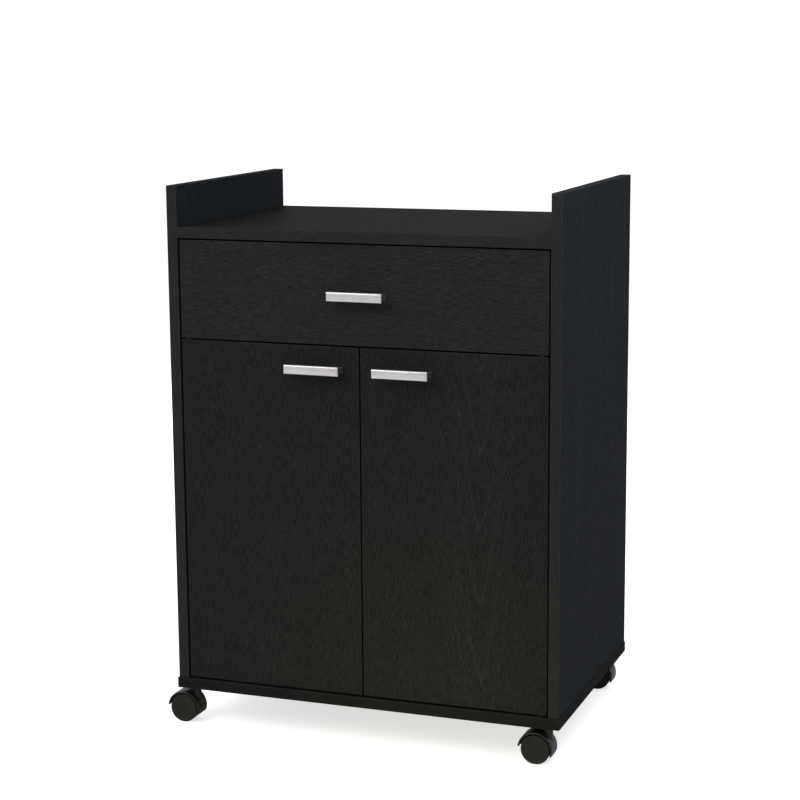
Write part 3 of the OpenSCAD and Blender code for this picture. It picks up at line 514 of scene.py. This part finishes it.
def build_turned_tree():
    """Geometry nodes: a profile turned round an axis, with ribs set round it, aimed and placed."""
    tree, given, out = new_group(
        "turned_part",
        [
            ("Profile", "Geometry", None), ("Segments", "Int", 96), ("Ribs", "Int", 6),
            ("Rib Length", "Float", 12 * MM), ("Rib Thickness", "Float", 1.2 * MM),
            ("Rib Height", "Float", 7 * MM), ("Rib Radius", "Float", 11 * MM),
            ("Rib Level", "Float", 4 * MM), ("Turn", "Vector", None), ("Place", "Vector", None),
            ("Material", "Material", None),
        ],
        [("Geometry", "Geometry")],
        "GeometryNodeTree",
    )
    profile = add(tree, "GeometryNodeMeshToCurve", None, {"Mesh": given["Profile"]})
    ring = add(tree, "GeometryNodeCurvePrimitiveCircle", None,
               {"Resolution": given["Segments"], "Radius": TURNING_R})
    turned = add(tree, "GeometryNodeCurveToMesh", None,
                 {"Curve": ring.outputs["Curve"], "Profile Curve": profile.outputs["Curve"]})

    size = add(tree, "ShaderNodeCombineXYZ", None,
               {0: given["Rib Length"], 1: given["Rib Thickness"], 2: given["Rib Height"]})
    rib = add(tree, "GeometryNodeMeshCube", None, {"Size": size.outputs[0]})
    seats = add(tree, "GeometryNodeMeshCircle", None,
                {"Vertices": given["Ribs"], "Radius": given["Rib Radius"]})
    step = calc(tree, "DIVIDE", math.tau, given["Ribs"])
    angle = calc(tree, "MULTIPLY", add(tree, "GeometryNodeInputIndex").outputs[0], step)
    facing = add(tree, "ShaderNodeCombineXYZ", None, {0: 0.0, 1: 0.0, 2: angle})
    ribs = add(tree, "GeometryNodeInstanceOnPoints", None, {
        "Points": seats.outputs[0], "Instance": rib.outputs["Mesh"], "Rotation": facing.outputs[0],
    })
    depth = calc(tree, "MULTIPLY", given["Rib Level"], -1.0)
    depth = add(tree, "ShaderNodeCombineXYZ", None, {0: 0.0, 1: 0.0, 2: depth})
    lifted = add(tree, "GeometryNodeTransform", None,
                 {0: ribs.outputs[0], "Translation": depth.outputs[0]})

    both = add(tree, "GeometryNodeJoinGeometry")
    tree.links.new(lifted.outputs[0], both.inputs[0])
    tree.links.new(turned.outputs[0], both.inputs[0])
    placed = add(tree, "GeometryNodeTransform", None,
                 {0: both.outputs[0], "Rotation": given["Turn"], "Translation": given["Place"]})
    real = add(tree, "GeometryNodeRealizeInstances", None, {0: placed.outputs[0]})
    finished = add(tree, "GeometryNodeSetMaterial", None,
                   {"Geometry": real.outputs[0], "Material": given["Material"]})
    tree.links.new(finished.outputs[0], out[0])


def turned_mesh(name, profile, values):
    """Mesh of a profile of radius and depth, turned by the geometry nodes with these inputs."""
    mesh = bpy.data.meshes.new(name)
    edges = [(i, i + 1) for i in range(len(profile) - 1)]
    mesh.from_pydata([(r - TURNING_R, depth, 0.0) for r, depth in profile], edges, [])
    item = link_data(name, mesh)
    turning = item.modifiers.new("turning", "NODES")
    turning.node_group = bpy.data.node_groups["turned_part"]
    for socket in turning.node_group.interface.items_tree:
        if socket.in_out == "INPUT" and socket.name in values:
            turning[socket.identifier] = values[socket.name]
    bm = bmesh.new()
    bm.from_mesh(baked(item))
    return mesh_from(name, bm)


# ------------------------------------------------------------------ settings

def colour_setting(name, description, default):
    """Colour property held as screen values."""
    return bpy.props.FloatVectorProperty(
        name=name, description=description, default=default, min=0.0, max=1.0,
        subtype="COLOR_GAMMA",
    )


def length_setting(name, description, default):
    """Length property."""
    return bpy.props.FloatProperty(
        name=name, description=description, default=default, min=0.0, unit="LENGTH", precision=5
    )


def share_setting(name, description, default):
    """Property that runs from none to all."""
    return bpy.props.FloatProperty(
        name=name, description=description, default=default, min=0.0, max=1.0, subtype="FACTOR"
    )


class CartSettings(bpy.types.PropertyGroup):
    """Colours and small sizes of the cart's finish."""

    front_colour: colour_setting("Doors", "Colour of the doors", (0.144, 0.144, 0.143))
    # The drawer front is the doors' laminate painted lighter: a painted sheen of its crosswise grain
    drawer_colour_with_sheen: colour_setting("Drawer", "Colour of the drawer's front", (0.162, 0.162, 0.163))
    # The sides are the doors' laminate with a faint painted blue tint of cool light from the right
    side_colour_with_cool_light: colour_setting("Sides", "Colour of the side panels", (0.137, 0.144, 0.155))
    board_colour: colour_setting(
        "Boards", "Colour of the shelves and the base board", (0.122, 0.122, 0.122)
    )
    band_colour: colour_setting(
        "Edge Bands", "Colour of the bands on the boards' edges", (0.168, 0.168, 0.168)
    )
    base_band_colour: colour_setting(
        "Base Band", "Colour of the band on the base board's edges", (0.118, 0.117, 0.116)
    )
    handle_colour: colour_setting("Handles", "Colour of the handles' metal", (0.889, 0.879, 0.875))
    plastic_colour: colour_setting(
        "Casters", "Colour of the casters' plastic", (0.112, 0.103, 0.086)
    )
    grain_contrast: share_setting("Grain", "Contrast of the woodgrain", 0.62)
    # Strength of the painted highlight along the boards' edges
    edge_light: share_setting("Edges", "Strength of the lighter line on the boards' edges", 0.12)
    laminate_gloss: share_setting("Laminate Gloss", "Specular level of the laminate", 0.005)
    pore_depth: length_setting("Pore Depth", "Depth of the laminate's pores", 0.12 * MM)
    handle_thickness: length_setting("Handle Bar", "Thickness of the handles' bars", 6 * MM)
    handle_bevel: length_setting("Handle Bevel", "Bevel round the face of the handles", 1.2 * MM)
    handle_rounding: length_setting("Handle Rounding", "Rounding of the handles' edges", 0.35 * MM)
    leg_width: length_setting("Leg Width", "Width of the handles' legs", 8 * MM)
    leg_height: length_setting("Leg Height", "Height of the handles' legs", 8 * MM)
    hood_rounding: length_setting("Hood Rounding", "Rounding of the hoods' rims", 2.2 * MM)
    hood_edge: length_setting("Hood Edge", "Rounding of the hoods' cut edges", 0.4 * MM)
    wheel_ribs: bpy.props.IntProperty(
        name="Wheel Ribs", description="Number of ribs behind each wheel's disc", default=6,
        min=3, max=12,
    )


# ------------------------------------------------------------------ operators

class CART_OT_effects(bpy.types.Operator):
    """Build the node groups that the materials share"""

    bl_idname = "cart.effects"
    bl_label = "Shared Effects"

    def execute(self, context):
        build_grain_group()
        build_edge_group()
        build_brushed_group()
        build_moulded_group()
        build_turned_tree()
        return {"FINISHED"}


class CART_OT_cabinet(bpy.types.Operator):
    """Finish the side panels, the shelves, the base board and the back panel"""

    bl_idname = "cart.cabinet"
    bl_label = "Cabinet Boards"

    def execute(self, context):
        cart = context.scene.cart
        band = cart.band_colour
        # Side panels: laminate with a painted tint of cool light
        for seed, node in ((3.1, "left_side_panel"), (7.7, "right_side_panel")):
            finish_node(node, laminate(
                node, cart.side_colour_with_cool_light, GRAIN_UP_SIDE, seed, lines=1.0, band=band
            ))
        boards = (
            (11.3, "base_board", cart.base_band_colour), (12.3, "divider_panel", band),
            (13.3, "inner_shelf", band), (14.3, "top_shelf", band),
        )
        for seed, node, band in boards:
            finish_node(node, laminate(
                node, cart.board_colour, GRAIN_ACROSS_FLAT, seed, band=band
            ))
        back = plain_board("back_hardboard", (0.12, 0.115, 0.11), (420, 420, 420), 0.62)
        finish_node("back_panel", back)
        return {"FINISHED"}


class CART_OT_fronts(bpy.types.Operator):
    """Finish the doors and the drawer's front"""

    bl_idname = "cart.fronts"
    bl_label = "Doors and Drawer Front"

    def execute(self, context):
        cart = context.scene.cart
        # The drawer front's lighter colour is a painted sheen
        drawer, door = cart.drawer_colour_with_sheen, cart.front_colour
        fronts = (
            ("drawer_front", drawer, GRAIN_ACROSS_FRONT, 21.9, Arches(0.2, -0.03, 0.05, 0.2)),
            ("left_door", door, GRAIN_UP_FRONT, 33.4, Arches(0.25, -0.02, 0.04, 0.12)),
            ("right_door", door, GRAIN_UP_FRONT, 45.2, Arches(1.0, 0.04, 0.011, 0.111)),
        )
        for node, colour, turn, seed, arches in fronts:
            finish_node(node, laminate(node, colour, turn, seed, arches))
        return {"FINISHED"}


class CART_OT_drawer_box(bpy.types.Operator):
    """Finish the drawer's sides, back and bottom"""

    bl_idname = "cart.drawer_box"
    bl_label = "Drawer Box"

    def execute(self, context):
        board = plain_board("drawer_faced_board", (0.16, 0.16, 0.16), (1400, 1400, 1400), 0.5)
        for node in ("drawer_left_side", "drawer_right_side", "drawer_back", "drawer_bottom"):
            finish_node(node, board)
        return {"FINISHED"}


class CART_OT_hardware(bpy.types.Operator):
    """Finish the runners, hinges, catch, pins, dowels and screws"""

    bl_idname = "cart.hardware"
    bl_label = "Hardware"

    def execute(self, context):
        coated = skin_material("coated_steel", (0.075, 0.075, 0.078), 0.45, 0.03 * MM, 0.3)
        zinc = plated_metal("zinc_plate", (0.72, 0.73, 0.75), 0.34)
        cast = plated_metal("cast_zinc", (0.62, 0.63, 0.66), 0.45, 0.35)
        nylon = skin_material("white_nylon", (0.86, 0.86, 0.82), 0.45, 0.02 * MM)
        black = skin_material("black_moulding", (0.10, 0.10, 0.10), 0.42, 0.04 * MM)
        sides, rollers = ("left", "right"), ("front_roller", "rear_roller")
        finishes = {
            coated: [
                *(side + "_cabinet_runner" for side in sides),
                *(f"drawer_{side}_runner" for side in sides), "hinge_plates",
            ],
            zinc: [
                "shelf_pins", "cam_bolts", "base_screws", "hardware_screws", "catch_magnets",
                "caster_stems", "insert_nuts", "drawer_handle_screws", "drawer_fixings",
                *(side + "_door_screws" for side in sides),
                *(side + "_strike_plate" for side in sides),
            ],
            cast: ["cam_locks"],
            nylon: [f"{side}_{roller}" for side in sides for roller in rollers],
            black: ["magnetic_catch", *(side + "_door_bushes" for side in sides)],
            beech("dowel_beech"): ["dowels"],
        }
        for material, nodes in finishes.items():
            for node in nodes:
                finish_node(node, material)
        return {"FINISHED"}


class CART_OT_handles(bpy.types.Operator):
    """Make the three handles: a bevelled bar on two legs"""

    bl_idname = "cart.handles"
    bl_label = "Handles"

    def execute(self, context):
        cart = context.scene.cart
        metal = brushed_metal("brushed_nickel", cart.handle_colour, 0.3)
        for node in ("drawer_handle", "left_door_handle", "right_door_handle"):
            mesh = handle_mesh(node, cart)
            name = node.replace("_handle", "_bar_handle")
            add_piece(name, mesh, metal, node, sharp=25.0)
        return {"FINISHED"}


def handle_mesh(node, cart):
    """Bar with bevelled edges, joined to its two legs."""
    low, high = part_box(node)
    back = low.y + cart.handle_thickness
    middle = (low.z + high.z) / 2
    bevel = cart.handle_bevel
    bar = box_mesh("bar", low, (high.x, back, high.z))
    bm = bmesh.new()
    bm.from_mesh(bar)
    front = [edge for edge in bm.edges if all(abs(vert.co.y - low.y) < MM for vert in edge.verts)]
    bmesh.ops.bevel(bm, geom=front, offset=bevel, segments=1, affect="EDGES")
    cuts = []
    for x in (low.x, high.x - cart.leg_width):
        leg_low = (x, back - MM, middle - cart.leg_height / 2)
        leg_high = (x + cart.leg_width, high.y, middle + cart.leg_height / 2)
        cuts.append(("UNION", box_mesh("leg", leg_low, leg_high)))
    return shaped("handle", mesh_from("bar", bm), cuts, cart.handle_rounding, 3)


class CART_OT_casters(bpy.types.Operator):
    """Make the casters' hoods and wheels, and finish their axles"""

    bl_idname = "cart.casters"
    bl_label = "Casters"

    def execute(self, context):
        cart = context.scene.cart
        hood = skin_material("hood_plastic", cart.plastic_colour, 0.36, 0.05 * MM, 0.3)
        wheel = skin_material("wheel_plastic", cart.plastic_colour, 0.38, 0.05 * MM, 0.2)
        steel = plated_metal("axle_steel", (0.7, 0.71, 0.73), 0.3)
        shape = hood_mesh(cart)
        for caster in CASTERS:
            swivel = Vector(JOINTS[caster + "_swivel"]["pos_m"])
            mesh = shape.copy()
            mesh.transform(Matrix.Translation((swivel.x, swivel.y, 0.0)))
            add_piece(caster + "_moulded_hood", mesh, hood, caster + "_caster_hood")
            finish_node(caster + "_caster_axle", steel)
            for place, side in (("front", -1), ("rear", 1)):
                node = f"{caster}_{place}_wheel"
                mesh = wheel_mesh(node, side, cart, wheel)
                add_piece(f"{caster}_{place}_moulded_wheel", mesh, wheel, node)
        bpy.data.meshes.remove(shape)
        return {"FINISHED"}


def wheel_mesh(node, side, cart, material):
    """Caster wheel: rim, closed outer disc, hub with a blind bore, and ribs behind the disc."""
    low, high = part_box(node)
    radius, width = (high.z - low.z) / 2, high.y - low.y
    tread, rim, disc, dish = 1.2 * MM, 2.4 * MM, 2.2 * MM, 0.5 * MM
    bore, hub, ring = 3.05 * MM, 5.5 * MM, radius - 3 * MM
    ease = 0.25 * MM
    inside = width - disc
    profile = [(0.0, inside - dish), (bore, inside - dish), (bore, ease), (bore + ease, 0.0)]
    profile += [(hub - ease, 0.0), (hub, ease), (hub, inside - ease), (hub + ease, inside)]
    profile += [(radius - rim - ease, inside), (radius - rim, inside - ease), (radius - rim, ease)]
    profile += [(radius - rim + ease, 0.0)]
    profile += arc((radius - tread, tread), tread, -90, 0, 5)
    profile += arc((radius - tread, width - tread), tread, 0, 90, 5)
    profile += [(ring + ease, width), (ring, width - ease), (ring - 1.2 * ease, width - dish)]
    profile += [(0.0, width - dish)]
    return turned_mesh(node, profile, {
        "Segments": 96, "Ribs": cart.wheel_ribs,
        "Rib Length": radius - rim - hub + 0.6 * MM, "Rib Thickness": 1.2 * MM,
        "Rib Height": inside - MM,
        "Rib Radius": (radius - rim + hub) / 2, "Rib Level": (inside + MM) / 2,
        "Turn": (side * math.pi / 2, 0.0, 0.0),
        "Place": ((low.x + high.x) / 2, low.y if side > 0 else high.y, (low.z + high.z) / 2),
        "Material": material,
    })


def hood_mesh(cart):
    """Hood at the swivel axis: a neck on a drum, open below, with a web between the wheels."""
    low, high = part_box("fl_caster_hood")
    swivel = Vector(JOINTS["fl_swivel"]["pos_m"])
    axle = Vector(JOINTS["fl_front_wheel_spin"]["pos_m"])
    trail, level = swivel.x - axle.x, axle.z
    half = (high.y - low.y) / 2
    radius, shift, wall, round_r = 26 * MM, 0.8 * MM, 2.2 * MM, cart.hood_rounding
    web, boss, neck = 5.2 * MM, 7 * MM, 6 * MM
    lip, skirt = level + 3 * MM, level - 8.5 * MM
    centre = -trail - shift

    # The drum is a rounded disc between the hood's two sides
    bm = bmesh.new()
    for ring_r, y in arc((radius - round_r, half - round_r), round_r, 0, 90, 6):
        for i in range(128):
            turn = math.tau * i / 128
            for side in (-1, 1):
                x, z = centre + ring_r * math.cos(turn), level + ring_r * math.sin(turn)
                bm.verts.new((x, side * y, z))
    hull = bmesh.ops.convex_hull(bm, input=bm.verts)
    bmesh.ops.delete(bm, geom=hull["geom_interior"], context="VERTS")
    body = mesh_from("hood", bm)

    bm = bmesh.new()
    turned = Matrix.Translation((0, 0, (high.z + level) / 2))
    bmesh.ops.create_cone(bm, cap_ends=True, segments=64, radius1=neck + 2 * MM, radius2=neck,
                          depth=high.z - level, matrix=turned)
    collar = mesh_from("neck", bm)

    far = 3 * radius
    outline = [(-far, lip), (-trail, lip), (-trail, skirt), (far, skirt), (far, far), (-far, far)]
    cuts = [("UNION", collar), ("INTERSECT", prism_mesh("clip", outline, -far, far))]
    cuts.append(("UNION", drum_mesh("boss", (-trail, level), boss, -web, web)))
    for side in (-1, 1):
        ends = sorted((side * web, side * far))
        cuts.append(("DIFFERENCE", drum_mesh("well", (centre, level), radius - wall, *ends)))
    return shaped("hood", body, cuts, cart.hood_edge, 3)


def drum_mesh(name, centre, radius, low, high):
    """Drum along Y round a centre in X and Z."""
    return prism_mesh(name, arc(centre, radius, 0, 360 * 95 / 96, 95), low, high)


class Lamp(NamedTuple):
    """Square soft lamp: where it stands, what it aims at, its size, power and colour."""

    place: tuple
    target: tuple
    size: float
    watts: float
    colour: tuple
    mirrored: bool = True


LAMPS = {
    "key_light": Lamp((-1.6, -2.6, 2.6), (0, 0, 0.45), 1.8, 52.0, (1.0, 0.985, 0.965)),
    "side_light": Lamp((1.0, -0.3, 1.65), (0.3, 0, 0.65), 0.8, 10.6, (0.77, 0.92, 1.0)),
    "back_light": Lamp((-1.9, 2.3, 1.2), (0, 0.1, 0.45), 1.6, 34.0, (0.96, 0.98, 1.0), False),
    "low_light": Lamp((0.12, -0.47, 0.06), (0.12, -0.19, 0.06), 0.2, 0.36, (1, 0.76, 0.14), False),
}
FLOOR_REACH = 30.0
# Glow of the floor that brings it to white for the camera where no shadow falls
FLOOR_GLOW = 0.66
# Strength of the sky on rough surfaces and in reflections
SKY_LIGHT, SKY_MIRRORED = 0.5, 0.7
CAMERA_PLACE = (1.0149, -2.7611, 1.0228)
# Degrees that the camera looks to the left of the back, down and over
CAMERA_YAW, CAMERA_PITCH, CAMERA_ROLL = 20.101, 10.378, -0.404
CAMERA_LENS, CAMERA_SENSOR = 88.41, 36.0


class CART_OT_stage(bpy.types.Operator):
    """Make the floor, the lights, the sky and the camera"""

    bl_idname = "cart.stage"
    bl_label = "Stage"

    def execute(self, context):
        scene = context.scene
        scene.view_settings.view_transform = "Standard"
        make_floor()
        make_sky(scene)
        for name, lamp in LAMPS.items():
            make_lamp(name, lamp)
        make_camera(scene)
        return {"FINISHED"}


def make_floor():
    """White floor that glows a little for the camera, so that only the shadow shows on it."""
    mesh = bpy.data.meshes.new("studio_floor")
    reach = FLOOR_REACH
    corners = [(-reach, -reach, 0), (reach, -reach, 0), (reach, reach, 0), (-reach, reach, 0)]
    mesh.from_pydata(corners, [], [(0, 1, 2, 3)])
    floor = link_data("studio_floor", mesh)
    white = (0.82, 0.82, 0.82, 1)
    material, tree, shader = new_material("floor_white", Base_Color=white, Roughness=0.9)
    shader.inputs["Emission Color"].default_value = (1, 1, 1, 1)
    seen = add(tree, "ShaderNodeLightPath").outputs["Is Camera Ray"]
    tree.links.new(calc(tree, "MULTIPLY", seen, FLOOR_GLOW), shader.inputs["Emission Strength"])
    mesh.materials.append(material)


def make_sky(scene):
    """Soft even sky, brighter in reflections and white for the camera."""
    world = bpy.data.worlds.new("studio_sky")
    world.use_nodes = True
    tree = world.node_tree
    background = tree.nodes["Background"]
    background.inputs["Color"].default_value = (1, 1, 1, 1)
    path = add(tree, "ShaderNodeLightPath").outputs
    unseen = remap(tree, path["Is Glossy Ray"], 0.0, 1.0, SKY_LIGHT, SKY_MIRRORED)
    strength = calc(tree, "MAXIMUM", path["Is Camera Ray"], unseen)
    tree.links.new(strength, background.inputs["Strength"])
    scene.world = world


def make_lamp(name, lamp):
    """Puts a lamp in the scene, unseen by the camera; it can be left out of reflections too."""
    light = bpy.data.lights.new(name, "AREA")
    light.shape = "SQUARE"
    light.size = lamp.size
    light.energy = lamp.watts
    light.color = lamp.colour
    holder = link_data(name, light)
    holder.location = lamp.place
    away = Vector(lamp.place) - Vector(lamp.target)
    holder.rotation_euler = away.to_track_quat("Z", "Y").to_euler()
    holder.visible_camera = False
    holder.visible_glossy = lamp.mirrored


def make_camera(scene):
    """Camera at the photograph's angle."""
    camera = bpy.data.cameras.new("camera")
    camera.lens = CAMERA_LENS
    camera.sensor_width = CAMERA_SENSOR
    holder = link_data("camera", camera)
    turn = Matrix.Rotation(math.radians(CAMERA_YAW), 3, "Z")
    turn @= Matrix.Rotation(math.radians(90 - CAMERA_PITCH), 3, "X")
    turn @= Matrix.Rotation(math.radians(CAMERA_ROLL), 3, "Z")
    holder.rotation_euler = turn.to_euler()
    holder.location = CAMERA_PLACE
    scene.camera = holder


class CART_PT_panel(bpy.types.Panel):
    """Sidebar panel that lists the cart's settings and operators"""

    bl_idname = "CART_PT_panel"
    bl_label = "Rolling Kitchen Cart"
    bl_space_type = "VIEW_3D"
    bl_region_type = "UI"
    bl_category = "Cart"

    def draw(self, context):
        column = self.layout.column()
        for name in CartSettings.__annotations__:
            column.prop(context.scene.cart, name)
        for operator in OPERATORS:
            column.operator(operator.bl_idname)


OPERATORS = (
    CART_OT_effects, CART_OT_cabinet, CART_OT_fronts, CART_OT_drawer_box, CART_OT_hardware,
    CART_OT_handles, CART_OT_casters, CART_OT_stage,
)
CLASSES = (CartSettings,) + OPERATORS + (CART_PT_panel,)


def register():
    for item in CLASSES:
        bpy.utils.register_class(item)
    bpy.types.Scene.cart = bpy.props.PointerProperty(type=CartSettings)


def unregister():
    del bpy.types.Scene.cart
    for item in reversed(CLASSES):
        bpy.utils.unregister_class(item)


def main():
    register()
    for operator in OPERATORS:
        group, name = operator.bl_idname.split(".")
        getattr(getattr(bpy.ops, group), name)()


if __name__ == "__main__":
    main()
